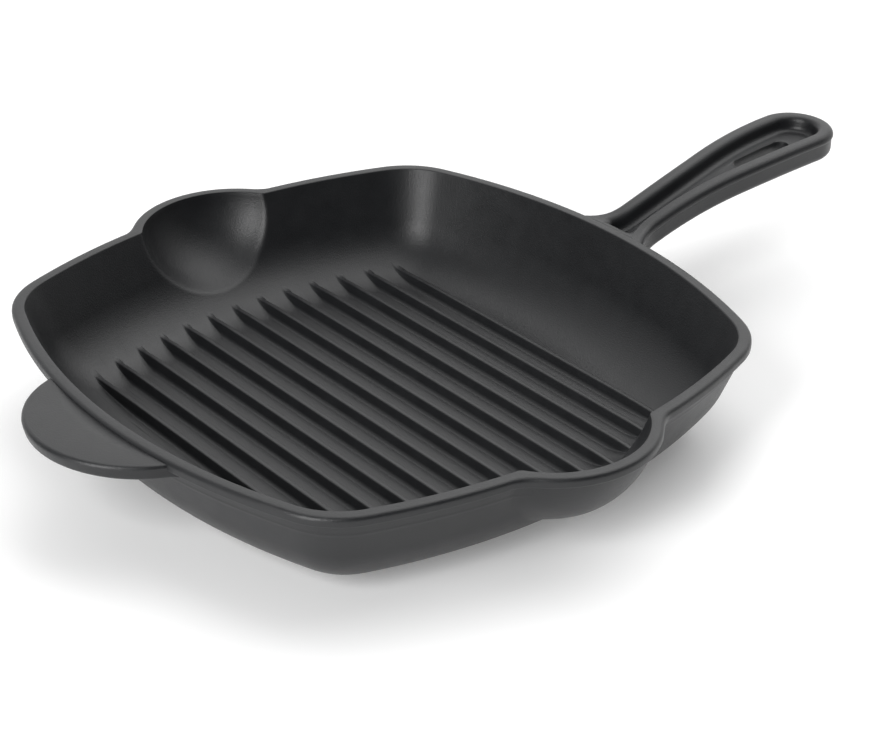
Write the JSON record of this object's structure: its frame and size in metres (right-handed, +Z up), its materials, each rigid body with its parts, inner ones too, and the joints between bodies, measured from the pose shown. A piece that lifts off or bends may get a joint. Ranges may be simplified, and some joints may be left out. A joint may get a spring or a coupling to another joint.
{
  "type": "grill pan",
  "caption": "Square cast-iron grill pan with a ribbed cooking floor, a pour spout on each side, a long handle with a hanging slot and a half-round helper handle.",
  "frame": {"origin": "centre of the flat underside, on the surface the pan stands on", "axes": "+Z up; +Y from the pan's centre towards the long handle; the pour spouts are on -X and +X, and the ribs run along X"},
  "size_m": [0.2958, 0.4174, 0.0639],
  "materials": {
    "casting": "matte black, fine sand-cast grain"
  },
  "bodies": {
    "root": {"cooking_floor": "casting", "side_wall": "casting", "rim_bead": "casting", "left_pour_spout": "casting", "right_pour_spout": "casting", "long_handle": "casting", "helper_handle": "casting", "sear_rib_01": "casting", "sear_rib_02": "casting", "sear_rib_03": "casting", "sear_rib_04": "casting", "sear_rib_05": "casting", "sear_rib_06": "casting", "sear_rib_07": "casting", "sear_rib_08": "casting", "sear_rib_09": "casting", "sear_rib_10": "casting", "sear_rib_11": "casting", "sear_rib_12": "casting", "sear_rib_13": "casting"}
  },
  "joints": []
}
